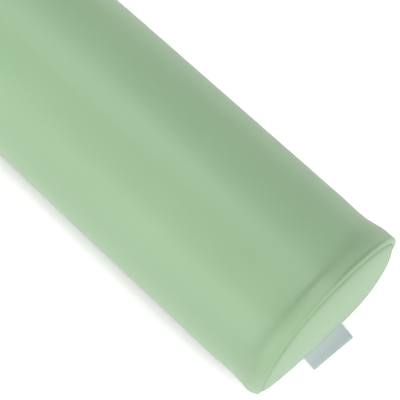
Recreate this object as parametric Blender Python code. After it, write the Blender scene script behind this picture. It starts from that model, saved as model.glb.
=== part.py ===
"""Massage roller: a foam cylinder in a sewn leathercloth cover with a lengthwise zip.

The roller lies along X with its labelled end at +X. +Z is up, and the origin is the middle
of the flat strip that it rests on. Lengths are in metres, angles in radians.
"""

from math import asin, cos, hypot, pi, radians, sin, tan

import bmesh
import bpy
from mathutils import Vector

# Roller
LENGTH = 0.600
BODY_RADIUS = 0.075
TAPER_LENGTH = 0.117
BARREL = 0.0004
SEGMENTS = 32
REST_DEPTH = 0.0005
SETTLE_HEIGHT = 0.006

# Cover
LEATHERCLOTH = 0.001
NECK_INSET = 0.028
NECK_DIP = 0.0007
SHOULDER_LENGTH = 0.025
RIM_SWELL = 0.0015
RIM_INSET = 0.005
RIM_DROP = 0.0024
RIM_HOLLOW = 0.001
CREASE_INSET = 0.003
SEAM_ALLOWANCE = 0.007
SEAM_GAP = 0.0003
CROWN = 0.0085
CROWN_POWER = 2.6
CROWN_RINGS = 5
FOAM_GAP = 0.0003
CUT_MARGIN = 0.015

# Zip, in its own frame: X along the roller, Y across the opening, Z straight out of the cover
ZIP_ANGLE = radians(135)
OPENING_INSET = 0.050
OPENING_WIDTH = 0.011
HEM_WIDTH = 0.008
HEM_END = 0.012
ZIP_GAP = 0.0003
TAPE_WIDTH = 0.0125
TAPE_THICKNESS = 0.0006
TAPE_END = 0.010
TOOTH_PITCH = 0.003
TOOTH_GAP = 0.0002
TOOTH_FLARE = 0.00025
TOOTH_REACH = 0.0009
COIL_BACK = 0.0029
COIL_HEIGHT = 0.002
STOP_LENGTH = 0.003
STOP_CLEARANCE = 0.002

# Slider and pull
SLIDER_LENGTH = 0.012
SLIDER_THROAT = 0.0049
SLIDER_TAIL = 0.0042
SLIDER_CORNER = 0.0016
PLATE_THICKNESS = 0.0012
PLATE_CHAMFER = 0.0003
FLANGE_THICKNESS = 0.0009
BRIDGE_WIDTH = 0.0022
BRIDGE_LENGTH = 0.0064
BRIDGE_BAR = 0.0009
BRIDGE_CORNER = 0.0006
PIVOT_GAP = 0.00035
PULL_THICKNESS = 0.0011
PULL_WIDTH = 0.0054
PULL_WAIST = 0.0044
PULL_CORNER = 0.0012
PULL_ARM = 0.0011
PULL_LENGTH = 0.0165
PULL_HOLE_RADIUS = 0.0011

# Label, folded from satin ribbon and sewn into the lower seam
LABEL_WIDTH = 0.041
LABEL_THICKNESS = 0.0008
LABEL_OFFSET = 0.0035
LABEL_REACH = 0.0170
LABEL_TURN = radians(7)
LABEL_ROOT_INSET = 0.0024
LABEL_FLOOR_GAP = 0.0001
LABEL_STEPS = 5

# Worked out from the sizes above
SEGMENT = 2 * pi / SEGMENTS
HALF_SEGMENT = SEGMENT / 2
END_X = LENGTH / 2
AXIS_HEIGHT = BODY_RADIUS * cos(HALF_SEGMENT) - REST_DEPTH
NECK_X = END_X - NECK_INSET
SHOULDER_X = NECK_X - SHOULDER_LENGTH
BELLY_X = SHOULDER_X - TAPER_LENGTH
SHOULDER_RADIUS = BODY_RADIUS - BARREL
NECK_RADIUS = SHOULDER_RADIUS - NECK_DIP
RIM_RADIUS = BODY_RADIUS + RIM_SWELL
TIP_RADIUS = RIM_RADIUS - RIM_DROP
CREASE_RADIUS = RIM_RADIUS - 2 * LEATHERCLOTH - RIM_HOLLOW
CREASE_X = END_X - CREASE_INSET
SEAM_END_X = CREASE_X - SEAM_ALLOWANCE
COVER_RADIUS = RIM_RADIUS - RIM_HOLLOW + SEAM_GAP
DISC_RADIUS = CREASE_RADIUS - SEAM_GAP
CROWN_RISE = CROWN + CREASE_INSET


def side_radius(x):
    """Outer radius of the cover between its two necks, on a corner of the turned shape."""
    x = abs(x)
    if x <= BELLY_X:
        return BODY_RADIUS
    if x <= SHOULDER_X:
        share = (x - BELLY_X) / (SHOULDER_X - BELLY_X)
        return BODY_RADIUS - BARREL * share
    return SHOULDER_RADIUS - NECK_DIP * (x - SHOULDER_X) / (NECK_X - SHOULDER_X)


# The zip's places, worked out from the cover over it
OPENING_HALF_LENGTH = END_X - OPENING_INSET
HEM_HALF_WIDTH = OPENING_WIDTH / 2 + HEM_WIDTH
HEM_HALF_LENGTH = OPENING_HALF_LENGTH + HEM_END
TAPE_RADIUS = side_radius(HEM_HALF_LENGTH) - 2 * LEATHERCLOTH - ZIP_GAP
TAPE_FACE = TAPE_RADIUS * cos(HALF_SEGMENT)
TAPE_EDGE = ZIP_GAP / 2
TAPE_HALF_LENGTH = OPENING_HALF_LENGTH + TAPE_END
COIL_LOW = TAPE_FACE + ZIP_GAP
COIL_TOP = COIL_LOW + COIL_HEIGHT
COIL_ROOM = 2 * (OPENING_HALF_LENGTH - STOP_LENGTH - STOP_CLEARANCE)
TOOTH_COUNT = int(COIL_ROOM / TOOTH_PITCH)
COIL_HALF_LENGTH = TOOTH_COUNT * TOOTH_PITCH / 2

SLIDER_X = -COIL_HALF_LENGTH + SLIDER_LENGTH / 2
PLATE_LOW = COIL_TOP + ZIP_GAP
PLATE_TOP = PLATE_LOW + PLATE_THICKNESS
PIVOT_HEIGHT = PLATE_TOP + PIVOT_GAP + PULL_THICKNESS / 2
BRIDGE_LOW = PIVOT_HEIGHT + PULL_THICKNESS / 2 + PIVOT_GAP
BRIDGE_TOP = BRIDGE_LOW + BRIDGE_BAR


def material(name, colour, roughness, metallic=0.0):
    """A plain Principled material; colour is linear red, green and blue."""
    made = bpy.data.materials.new(name)
    made.use_nodes = True
    shader = made.node_tree.nodes["Principled BSDF"]
    shader.inputs["Base Color"].default_value = (*colour, 1.0)
    shader.inputs["Roughness"].default_value = roughness
    shader.inputs["Metallic"].default_value = metallic
    made.diffuse_color = (*colour, 1.0)
    return made


def add_object(name, shape, finish, parent, smooth=True):
    """Turns a bmesh into an object hung on an empty, with outward faces."""
    bmesh.ops.recalc_face_normals(shape, faces=shape.faces)
    mesh = bpy.data.meshes.new(name)
    shape.to_mesh(mesh)
    shape.free()
    if smooth:
        mesh.shade_smooth()
        mesh.set_sharp_from_angle(angle=radians(35))
    if finish:
        mesh.materials.append(finish)
    made = bpy.data.objects.new(name, mesh)
    made.parent = parent
    bpy.context.scene.collection.objects.link(made)
    return made


def add_empty(name, location, turn_about_x=0.0, parent=None):
    """A frame that pieces are placed in."""
    made = bpy.data.objects.new(name, None)
    made.empty_display_size = 0.02
    made.location = location
    made.rotation_euler.x = turn_about_x
    made.parent = parent
    bpy.context.scene.collection.objects.link(made)
    return made


def add_cutter(name, shape, parent):
    """A shape that another piece is cut or joined with, not a piece itself."""
    made = add_object(name, shape, None, parent, smooth=False)
    made.hide_render = True
    made.display_type = "WIRE"
    return made


def combine(piece, other, operation):
    """Cuts another shape from a piece, or joins it to the piece."""
    modifier = piece.modifiers.new(other.name, "BOOLEAN")
    modifier.operation = operation
    modifier.solver = "EXACT"
    modifier.object = other


def spin_outline(outline, closed):
    """Turns an outline of (x, radius) points about the X axis into a closed surface."""
    shape = bmesh.new()
    start = (sin(HALF_SEGMENT), -cos(HALF_SEGMENT))
    ring = [shape.verts.new((x, r * start[0], r * start[1])) for x, r in outline]
    edges = [shape.edges.new(pair) for pair in zip(ring, ring[1:])]
    if closed:
        edges.append(shape.edges.new((ring[-1], ring[0])))
    bmesh.ops.spin(
        shape,
        geom=ring + edges,
        axis=(1, 0, 0),
        cent=(0, 0, 0),
        steps=SEGMENTS,
        angle=2 * pi,
        use_merge=True,
    )
    bmesh.ops.remove_doubles(shape, verts=shape.verts, dist=1e-6)
    return shape


def loft(sections):
    """Joins loops of points, one after another, into a closed solid."""
    shape = bmesh.new()
    loops = [[shape.verts.new(point) for point in section] for section in sections]
    for near, far in zip(loops, loops[1:]):
        for i in range(len(near)):
            j = (i + 1) % len(near)
            shape.faces.new((near[i], near[j], far[j], far[i]))
    shape.faces.new(reversed(loops[0]))
    shape.faces.new(loops[-1])
    return shape


def prism(outline, along):
    """Extrudes a flat outline of points by a vector."""
    return loft([outline, [Vector(point) + Vector(along) for point in outline]])


def box_outline(low, high, z):
    """A rectangle at height z, from its low corner to its high one."""
    return [(low[0], low[1], z), (high[0], low[1], z), (high[0], high[1], z), (low[0], high[1], z)]


def widest_radius(x):
    """Outer radius of the cover at any x; the ends are as wide as their rims."""
    x = abs(x)
    if x <= NECK_X:
        return side_radius(x)
    share = min((x - NECK_X) / (END_X - RIM_INSET - NECK_X), 1.0)
    return NECK_RADIUS + (RIM_RADIUS - NECK_RADIUS) * share


def settled(x, z):
    """Height above the axis of a soft point once the roller's weight flattens its underside.

    Everything within SETTLE_HEIGHT of the floor is squeezed up evenly, so that layers keep
    their order and nothing lies below the floor.
    """
    sunk = widest_radius(x) * cos(HALF_SEGMENT) - AXIS_HEIGHT
    height = z + AXIS_HEIGHT
    if sunk <= 0 or height >= SETTLE_HEIGHT:
        return z
    squeeze = SETTLE_HEIGHT / (SETTLE_HEIGHT + sunk)
    return SETTLE_HEIGHT - (SETTLE_HEIGHT - height) * squeeze - AXIS_HEIGHT


def settle(shape):
    for vertex in shape.verts:
        vertex.co.z = settled(vertex.co.x, vertex.co.z)
    return shape


def ellipse_arc(centre, across, up, start, end, steps):
    """Points of an ellipse's arc about centre, from the start angle to the end angle."""
    turns = [start + (end - start) * i / steps for i in range(steps + 1)]
    return [(centre[0] + across * cos(t), centre[1] + up * sin(t)) for t in turns]


def mirrored(half):
    """The whole length's points from those of the +X half, in one running order."""
    return [(-x, r) for x, r in reversed(half)] + half


def side_panel_outline():
    """Closed outline of the side panel: finished face out along it, lining face back.

    At each end the cloth swells into the rim, rolls over it and turns back inside as the
    seam allowance, so the seam sits in a crease between the rim and the end disc.
    """
    flare_x = (NECK_X + SEAM_END_X) / 2
    over = (END_X - RIM_INSET, TIP_RADIUS)
    under = (CREASE_X, TIP_RADIUS)
    face = [(x, side_radius(x)) for x in (BELLY_X, SHOULDER_X, NECK_X)]
    face.append((flare_x, (NECK_RADIUS + COVER_RADIUS) / 2))
    face.append((SEAM_END_X, COVER_RADIUS))
    face += ellipse_arc(over, RIM_INSET, RIM_DROP, pi / 2, 0, 3)
    face += ellipse_arc(under, CREASE_INSET, TIP_RADIUS - CREASE_RADIUS, 0, -pi / 2, 2)[1:]
    face.append((SEAM_END_X, CREASE_RADIUS))
    lining = [(SHOULDER_X, side_radius(SHOULDER_X)), (NECK_X, NECK_RADIUS)]
    lining += [(SEAM_END_X, COVER_RADIUS), (END_X - RIM_INSET, RIM_RADIUS)]
    lining = [(x, r - LEATHERCLOTH) for x, r in lining]
    lining.append((END_X - 2 * LEATHERCLOTH, CREASE_RADIUS + LEATHERCLOTH))
    lining.append((SEAM_END_X, CREASE_RADIUS + LEATHERCLOTH))
    lining.insert(0, (BELLY_X, BODY_RADIUS - LEATHERCLOTH))
    return mirrored(face) + mirrored(lining)[::-1]


def crown_x(radius):
    """Where the end disc's finished face lies at a radius: a shallow dome over the crease."""
    return CREASE_X + CROWN_RISE * (1 - (radius / DISC_RADIUS) ** CROWN_POWER)


def ring_radii(edge):
    """Radii of a dome's rings from its middle to its edge, closer together where it falls."""
    return [edge * sin(pi / 2 * i / CROWN_RINGS) for i in range(CROWN_RINGS + 1)]


def end_disc_outline():
    """Outline of an end disc from its middle out, back in as the seam allowance, and home."""
    radii = ring_radii(DISC_RADIUS)
    inner = [r for r in radii if r < DISC_RADIUS - 2 * LEATHERCLOTH]
    face = [(crown_x(r), r) for r in radii]
    face.append((SEAM_END_X, DISC_RADIUS))
    lining = [(SEAM_END_X, DISC_RADIUS - LEATHERCLOTH)]
    lining.append((CREASE_X - LEATHERCLOTH / 2, DISC_RADIUS - LEATHERCLOTH))
    lining += [(crown_x(r) - LEATHERCLOTH, r) for r in reversed(inner)]
    return face + lining


def foam_outline():
    """Outline of the foam core's half: domed end, rebate for the seams, long straight side."""
    edge = DISC_RADIUS - LEATHERCLOTH - FOAM_GAP
    half = [(x, side_radius(x)) for x in (BELLY_X, SHOULDER_X, NECK_X)]
    half.append((SEAM_END_X - FOAM_GAP, NECK_RADIUS))
    half = [(x, r - LEATHERCLOTH - FOAM_GAP) for x, r in half]
    half.append((SEAM_END_X - FOAM_GAP, edge))
    half += [(crown_x(r) - LEATHERCLOTH - FOAM_GAP, r) for r in reversed(ring_radii(edge))]
    return mirrored(half)


def add_end_disc(name, side, finish, roller_axis):
    """One end disc; side is 1 for the labelled end and -1 for the other."""
    outline = [(side * x, r) for x, r in end_disc_outline()]
    return add_object(name, settle(spin_outline(outline, closed=False)), finish, roller_axis)


def facet_radius(radius, angle):
    """Distance from the axis to the many-sided surface, at an angle from the zip's middle."""
    middle = round(angle / SEGMENT) * SEGMENT
    return radius * cos(HALF_SEGMENT) / cos(angle - middle)


def corner_angles(start, end):
    """Angles of a strip across the zip: its two edges and the corners that it spans."""
    corners = [(i + 0.5) * SEGMENT for i in range(-SEGMENTS // 4, SEGMENTS // 4)]
    return [start] + [a for a in corners if start + 1e-6 < a < end - 1e-6] + [end]


def strip(stations, outer, inner, start, end):
    """A curved strip under the cover's surface, in the zip's frame.

    outer and inner give the radius of its two faces at a station's x.
    """
    angles = corner_angles(start, end)
    sections = []
    for x in stations:
        rim = [(facet_radius(outer(x), a), a) for a in angles]
        rim += [(facet_radius(inner(x), a), a) for a in reversed(angles)]
        sections.append([(x, r * sin(a), r * cos(a)) for r, a in rim])
    return loft(sections)


def stations_within(half_length):
    """Where a long strip bends with the cover's barrel, from end to end."""
    bends = [x for x in (BELLY_X, SHOULDER_X) if x < half_length]
    right = bends + [half_length]
    return [-x for x in reversed(right)] + right


def add_hem(zip_frame):
    """The cover's edges folded under along the opening, a second layer of cloth."""
    reach = asin(HEM_HALF_WIDTH / BODY_RADIUS)
    shape = strip(
        stations_within(HEM_HALF_LENGTH),
        lambda x: side_radius(x) - LEATHERCLOTH / 2,
        lambda x: side_radius(x) - 2 * LEATHERCLOTH,
        -reach,
        reach,
    )
    return add_cutter("hem", shape, zip_frame)


def add_opening(zip_frame):
    """The slot that the zip closes, through cover and hem."""
    half, wide = OPENING_HALF_LENGTH, OPENING_WIDTH / 2
    outline = box_outline((-half, -wide), (half, wide), BODY_RADIUS - CUT_MARGIN)
    return add_cutter("opening", prism(outline, (0, 0, 2 * CUT_MARGIN)), zip_frame)


def add_zip_channel(zip_frame):
    """The hollow that hem, tapes and coils press into the foam."""
    depth = TAPE_THICKNESS + FOAM_GAP
    reach = asin((HEM_HALF_WIDTH + 2 * ZIP_GAP) / BODY_RADIUS)
    shape = strip(
        stations_within(HEM_HALF_LENGTH + ZIP_GAP),
        lambda x: BODY_RADIUS + CUT_MARGIN,
        lambda x: TAPE_RADIUS - depth,
        -reach,
        reach,
    )
    return add_cutter("zip_channel", shape, zip_frame)


def add_tape(name, side, finish, zip_frame):
    """A woven tape under one hem, reaching in below its coil to the zip's middle."""
    near = asin(TAPE_EDGE / TAPE_RADIUS)
    far = asin((TAPE_EDGE + TAPE_WIDTH) / TAPE_RADIUS)
    start, end = sorted((side * near, side * far))
    shape = strip(
        (-TAPE_HALF_LENGTH, TAPE_HALF_LENGTH),
        lambda x: TAPE_RADIUS,
        lambda x: TAPE_RADIUS - TAPE_THICKNESS,
        start,
        end,
    )
    return add_object(name, shape, finish, zip_frame)


def add_coil(name, side, finish, zip_frame):
    """One row of teeth on its back strip.

    Each tooth widens towards its head, and the rows sit half a pitch apart, so the heads
    of one lock behind those of the other.
    """
    mean = TOOTH_PITCH / 2 - TOOTH_GAP
    head = (mean + TOOTH_FLARE) / 2
    root = (mean - TOOTH_FLARE) / 2
    tip = TOOTH_REACH - TOOTH_GAP
    first = -COIL_HALF_LENGTH + TOOTH_PITCH * (2 + side) / 4
    outline = [(-COIL_HALF_LENGTH, -COIL_BACK), (-COIL_HALF_LENGTH, -TOOTH_REACH)]
    for i in range(TOOTH_COUNT):
        x = first + i * TOOTH_PITCH
        outline += [(x - root, -TOOTH_REACH), (x - head, tip)]
        outline += [(x + head, tip), (x + root, -TOOTH_REACH)]
    outline += [(COIL_HALF_LENGTH, -TOOTH_REACH), (COIL_HALF_LENGTH, -COIL_BACK)]
    loop = [(x, -side * y, COIL_LOW) for x, y in outline]
    return add_object(name, prism(loop, (0, 0, COIL_HEIGHT)), finish, zip_frame, smooth=False)


def chamfered_block(outline, height, chamfer):
    """A prism whose top edge is chamfered."""
    shape = prism(outline, (0, 0, height))
    top = outline[0][2] + height
    edges = [e for e in shape.edges if all(abs(v.co.z - top) < 1e-6 for v in e.verts)]
    bmesh.ops.bevel(shape, geom=edges, offset=chamfer, segments=1, affect="EDGES")
    return shape


def add_stop(name, x, low_y, high_y, finish, zip_frame):
    """A small clamp over the end of the coils that the slider runs up against."""
    outline = box_outline((x, low_y), (x + STOP_LENGTH, high_y), COIL_LOW)
    return add_object(name, chamfered_block(outline, COIL_HEIGHT, PLATE_CHAMFER), finish, zip_frame)


def slider_plan():
    """The slider's plan, wide at the throat that leads when it closes, narrow at the tail."""
    half, cut = SLIDER_LENGTH / 2, SLIDER_CORNER
    side = [(-half, SLIDER_THROAT - cut), (-half + cut, SLIDER_THROAT)]
    side += [(0, SLIDER_THROAT), (half - cut, SLIDER_TAIL), (half, SLIDER_TAIL - cut)]
    return side + [(x, -y) for x, y in reversed(side)]


def add_slider_plate(finish, slider_frame):
    outline = [(x, y, PLATE_LOW) for x, y in slider_plan()]
    shape = chamfered_block(outline, PLATE_THICKNESS, PLATE_CHAMFER)
    return add_object("zip_slider", shape, finish, slider_frame)


def add_flange(side, slider_frame):
    """The plate's edge turned down beside a coil, almost to the tape."""
    half = SLIDER_LENGTH / 2 - SLIDER_CORNER
    outer = SLIDER_TAIL
    inner = outer - FLANGE_THICKNESS
    ends = sorted((side * inner, side * outer))
    outline = box_outline((-half, ends[0]), (half, ends[1]), COIL_LOW)
    rise = PLATE_LOW + PLATE_THICKNESS / 2 - COIL_LOW
    label = "flange_left" if side > 0 else "flange_right"
    return add_cutter(label, prism(outline, (0, 0, rise)), slider_frame)


def add_bridge(slider_frame):
    """The arch over the plate that holds the pull's cross bar."""
    half = BRIDGE_LENGTH / 2
    inner = half - BRIDGE_BAR
    foot = PLATE_TOP - PLATE_THICKNESS / 2
    cut = BRIDGE_CORNER
    arch = [(-half, foot), (-half, BRIDGE_TOP - cut), (-half + cut, BRIDGE_TOP)]
    arch += [(half - cut, BRIDGE_TOP), (half, BRIDGE_TOP - cut), (half, foot)]
    arch += [(inner, foot), (inner, BRIDGE_LOW), (-inner, BRIDGE_LOW), (-inner, foot)]
    outline = [(x, -BRIDGE_WIDTH / 2, z) for x, z in arch]
    return add_cutter("bridge", prism(outline, (0, BRIDGE_WIDTH, 0)), slider_frame)


def add_pull(finish, pull_frame):
    """The tab, hung by its cross bar; its own origin is the bar's axis and it hangs along Z."""
    half, bar = PULL_WIDTH / 2, PULL_THICKNESS / 2
    side = [(-bar, half - bar), (0, half), (PULL_LENGTH / 2, PULL_WAIST / 2)]
    side += [(PULL_LENGTH - half, half), (PULL_LENGTH - PULL_CORNER, half)]
    side += [(PULL_LENGTH, half - PULL_CORNER)]
    plan = side + [(z, -y) for z, y in reversed(side)]
    outline = [(-bar, y, z) for z, y in plan]
    pull = add_object("zip_pull", prism(outline, (PULL_THICKNESS, 0, 0)), finish, pull_frame)
    eye_half = half - PULL_ARM
    eye_end = hypot(BRIDGE_LENGTH / 2, BRIDGE_TOP - PIVOT_HEIGHT) + PIVOT_GAP
    eye = [(eye_half, bar), (eye_half, eye_end), (-eye_half, eye_end), (-eye_half, bar)]
    start = -PULL_THICKNESS
    window = prism([(start, y, z) for y, z in eye], (2 * PULL_THICKNESS, 0, 0))
    combine(pull, add_cutter("pull_eye", window, pull_frame), "DIFFERENCE")
    turns = [SEGMENT * 4 * i for i in range(SEGMENTS // 4)]
    centre = PULL_LENGTH - half
    hole = [(PULL_HOLE_RADIUS * cos(t), centre + PULL_HOLE_RADIUS * sin(t)) for t in turns]
    bore = prism([(start, y, z) for y, z in hole], (2 * PULL_THICKNESS, 0, 0))
    combine(pull, add_cutter("pull_hole", bore, pull_frame), "DIFFERENCE")
    return pull


def underside(radius, y):
    """Height above the axis of a many-sided ring's underside, y to the side of its middle."""
    facets = [i * SEGMENT for i in range(-SEGMENTS // 8, SEGMENTS // 8 + 1)]
    reach = radius * cos(HALF_SEGMENT)
    return -min((reach - y * sin(a)) / cos(a) for a in facets)


def label_section(share):
    """The label's cross-section, from the seam (share 0) to its folded edge (share 1)."""
    root_x = END_X - LABEL_ROOT_INSET
    root_radius = CREASE_RADIUS - SEAM_GAP
    eased = share * share * (3 - 2 * share)
    across = [LABEL_WIDTH * (i / LABEL_STEPS - 0.5) for i in range(LABEL_STEPS + 1)]
    lower, upper = [], []
    for v in across:
        end_x = END_X + LABEL_REACH + v * tan(LABEL_TURN)
        x = root_x + (end_x - root_x) * share
        y = LABEL_OFFSET + v - (x - root_x) * tan(LABEL_TURN)
        seam = settled(root_x, underside(root_radius, y))
        z = seam + (LABEL_FLOOR_GAP - AXIS_HEIGHT - seam) * eased
        lower.append((x, y, z))
        upper.append((x, y, z + LABEL_THICKNESS))
    return lower + upper[::-1]


def add_label(finish, roller_axis):
    sections = [label_section(i / LABEL_STEPS) for i in range(LABEL_STEPS + 1)]
    return add_object("label", loft(sections), finish, roller_axis)


def build_cover(roller_axis, zip_frame):
    green = material("leathercloth", colour=(0.352, 0.521, 0.331), roughness=0.42)
    satin = material("satin_ribbon", colour=(0.51, 0.58, 0.60), roughness=0.35)
    shape = settle(spin_outline(side_panel_outline(), closed=True))
    panel = add_object("side_panel", shape, green, roller_axis)
    combine(panel, add_hem(zip_frame), "UNION")
    combine(panel, add_opening(zip_frame), "DIFFERENCE")
    add_end_disc("end_disc_front", 1, green, roller_axis)
    add_end_disc("end_disc_rear", -1, green, roller_axis)
    add_label(satin, roller_axis)


def build_core(roller_axis, zip_frame):
    foam = material("foam", colour=(0.80, 0.76, 0.62), roughness=0.9)
    shape = settle(spin_outline(foam_outline(), closed=False))
    core = add_object("foam_core", shape, foam, roller_axis)
    combine(core, add_zip_channel(zip_frame), "DIFFERENCE")


def build_zip(zip_frame):
    tape = material("zip_tape", colour=(0.24, 0.38, 0.23), roughness=0.8)
    nylon = material("zip_coil", colour=(0.27, 0.42, 0.26), roughness=0.45)
    nickel = material("zip_nickel", colour=(0.62, 0.62, 0.60), roughness=0.3, metallic=1.0)
    add_tape("zip_tape_left", 1, tape, zip_frame)
    add_tape("zip_tape_right", -1, tape, zip_frame)
    add_coil("zip_coil_left", 1, nylon, zip_frame)
    add_coil("zip_coil_right", -1, nylon, zip_frame)
    closed_x = -COIL_HALF_LENGTH - ZIP_GAP - STOP_LENGTH
    open_x = COIL_HALF_LENGTH + ZIP_GAP
    add_stop("zip_top_stop_left", closed_x, TOOTH_REACH, COIL_BACK, nickel, zip_frame)
    add_stop("zip_top_stop_right", closed_x, -COIL_BACK, -TOOTH_REACH, nickel, zip_frame)
    add_stop("zip_bottom_stop", open_x, -COIL_BACK, COIL_BACK, nickel, zip_frame)
    slider_frame = add_empty("slider_frame", (SLIDER_X, 0, 0), parent=zip_frame)
    slider = add_slider_plate(nickel, slider_frame)
    for piece in (add_flange(1, slider_frame), add_flange(-1, slider_frame), add_bridge(slider_frame)):
        combine(slider, piece, "UNION")
    pull_frame = add_empty("pull_frame", (0, 0, PIVOT_HEIGHT), parent=slider_frame)
    add_pull(nickel, pull_frame)


def build():
    for old in list(bpy.data.objects):
        bpy.data.objects.remove(old)
    roller_axis = add_empty("roller_axis", (0, 0, AXIS_HEIGHT))
    zip_frame = add_empty("zip_frame", (0, 0, 0), -ZIP_ANGLE, parent=roller_axis)
    build_cover(roller_axis, zip_frame)
    build_core(roller_axis, zip_frame)
    build_zip(zip_frame)


build()
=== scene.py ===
"""Massage roller: a foam cylinder in a sewn leathercloth cover, on a plain white table.

The roller lies along X with its labelled end at +X, and Z is up. Lengths are in metres. An
angle round the roller, called turn, starts at +Y and goes towards +Z, in radians.
"""

from math import atan2, cos, exp, hypot, pi, radians, sin, tan

import bmesh
import bpy
import numpy as np
from mathutils import Matrix, Vector, noise


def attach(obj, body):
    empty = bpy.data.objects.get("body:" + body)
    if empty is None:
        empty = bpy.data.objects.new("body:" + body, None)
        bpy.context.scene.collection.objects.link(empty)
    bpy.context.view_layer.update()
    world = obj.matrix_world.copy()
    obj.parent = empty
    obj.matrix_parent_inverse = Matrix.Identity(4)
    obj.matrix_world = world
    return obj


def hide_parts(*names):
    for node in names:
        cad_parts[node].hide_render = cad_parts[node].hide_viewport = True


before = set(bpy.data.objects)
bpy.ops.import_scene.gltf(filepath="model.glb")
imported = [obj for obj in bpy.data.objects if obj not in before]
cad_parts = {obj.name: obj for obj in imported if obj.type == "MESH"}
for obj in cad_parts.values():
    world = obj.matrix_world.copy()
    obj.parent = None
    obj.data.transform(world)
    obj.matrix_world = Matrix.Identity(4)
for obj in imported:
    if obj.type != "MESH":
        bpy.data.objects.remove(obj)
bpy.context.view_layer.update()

# Side panel of the cover
# One rectangle of leathercloth, sewn into a tube round the foam. It is stretched tight, draws in
# to a neck near each end, and swells again into the rim where it folds over to the end seam.
MM = 0.001
AXIS_HEIGHT = 0.0741389
FLOOR_SOFTNESS = 0.5 * MM
BODY_RADIUS = 0.075
END_X = 0.300
CLOTH = 1.0 * MM

# The tube narrows from its middle to the neck, then widens to the top of the rim
BELLY_X = 0.130
SHOULDER_X = 0.247
NECK_X = 0.272
TOP_NECK_SHIFT = 8.0 * MM
RIM_INSET = 8.3 * MM
RIM_X = END_X - RIM_INSET
BARREL = 0.4 * MM
NECK_DIP = 0.6 * MM
RIM_RISE = 1.9 * MM

# The rim leans to one side, and swells from its top down the near side
FRONT_RIM_LEAN = 1.4 * MM
REAR_RIM_LEAN = -0.6 * MM
SWELL = 3.0 * MM
SWELL_X = 0.262
SWELL_START = radians(75)
SWELL_END = radians(193)

# The rim's face falls past a thin ridge to a fold, which turns in to the seam. The fold grows
# where the far side hangs free and where the near side turns under.
RIM_STEEPNESS = 1.7
RIM_SHARES = (0.15, 0.3, 0.45, 0.58, 0.68, 0.76, 0.84, 0.92, 1.0)
RIDGE = 0.65 * MM
RIDGE_WIDTH = 1.1 * MM
RIDGE_TAIL = 0.9
RIM_FOLD = 1.6 * MM
FREE_FOLD = 2.6 * MM
FREE_TURN = radians(13)
FREE_OVERHANG = radians(45)
NEAR_FOLD = 3.4 * MM
NEAR_TURN = radians(200)
TUCK = radians(35)
FOLD_SHARES = (0.1, 0.2, 0.31, 0.42, 0.53, 0.64, 0.75, 0.87, 1.0)

# The end seam is a crease between the rim and the disc, with an allowance turned in behind it
CREASE_X = 0.2989
CREASE_RADIUS = 0.0723
CREASE_HALF_WIDTH = 0.3 * MM
TOP_CREASE_RISE = 2.6 * MM
NEAR_CREASE_DROP = 2.6 * MM
ALLOWANCE_X = 0.290

# It strays along the roller: its mean place, then the cosine and the sine of one, two and three
# waves round it in mm. The rear seam has the same waves, turned on and weaker.
SEAM_MEAN = -2.6 * MM
SEAM_WAVES = ((0.5, -0.2), (2.8, -0.8), (-0.9, -0.5))
REAR_SEAM_TURN = 2.1
REAR_SEAM_SHARE = 0.6
DRIFT_START_X = 0.185

# The zip's opening has a folded edge and a hem with a row of stitches; a seam runs on past it
ZIP_TURN = radians(-45)
OPENING_HALF_LENGTH = 0.250
OPENING_HALF_WIDTH = 5.5 * MM
FOLD_RADIUS = 1.2 * MM
FOLD_WALL = 2.0 * MM
HEM_WIDTH = 8.0 * MM
HEM_RISE = 0.3 * MM
HEM_STEP = (-0.6 * MM, 0.9 * MM)
TOPSTITCH_INSET = 3.0 * MM
TOPSTITCH_DIP = 0.35 * MM
TOPSTITCH_REACH = 0.7 * MM
SEAM_DIP = 0.8 * MM
SEAM_REACH = 0.8 * MM

# The stuffed cloth is a little uneven, in waves per metre along and across the roller
FOAM_SWELL = 0.22 * MM
SWELL_WAVES = (9, 14)
RIPPLE = 0.04 * MM
RIM_RIPPLE = 0.2 * MM
RIPPLE_START_X = 0.260
RIPPLE_WAVES = (30, 75)
RIPPLE_SHIFT = 4

# Rings and columns of the panel: even ones, and close ones on the lines of the zip and the rim.
# The lines are in mm, from the zip's middle and from the opening's edge.
EVEN_RINGS = 33
EVEN_STEP = 0.0075
NECK_RINGS = 19
NECK_START_X = 0.2615
EVEN_COLUMNS = 190
ZIP_LINES = (0, 0.4, 0.9, 1.6, 2.6, 4)
HEM_LINES = (0, 0.25, 0.6, 1.2, 2.2, 3, 3.8, 5.5, 7.5, 9)
ROUNDING = 1e-6


def ease(value, start, end):
    """0 before start, 1 after end, and a smooth rise between them."""
    share = np.clip((value - start) / (end - start), 0.0, 1.0)
    return share * share * (3 - 2 * share)


def tube_radius(x):
    """Radius of the stuffed tube up to the top of its rim."""
    x = np.abs(x)
    drawn_in = BARREL * ease(x, BELLY_X, SHOULDER_X) + NECK_DIP * ease(x, SHOULDER_X, NECK_X)
    return BODY_RADIUS - drawn_in + RIM_RISE * ease(x, NECK_X, RIM_X)


def seam_drift(side, turn):
    """How far the end seam strays along the roller from a flat circle."""
    turn = turn if side > 0 else turn + REAR_SEAM_TURN
    share = 1.0 if side > 0 else REAR_SEAM_SHARE
    waves = sum(
        c * np.cos(n * turn) + s * np.sin(n * turn) for n, (c, s) in enumerate(SEAM_WAVES, 1)
    )
    return side * share * (SEAM_MEAN + waves * MM)


def drifted(side, x, turn):
    """Where a point at a distance from the middle comes to lie, as it strays with the seam."""
    return side * x + seam_drift(side, turn) * ease(x, DRIFT_START_X, ALLOWANCE_X)


def off_zip(turn):
    """Distance over the cloth from the zip's middle line."""
    return BODY_RADIUS * ((turn - ZIP_TURN + pi) % (2 * pi) - pi)


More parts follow.
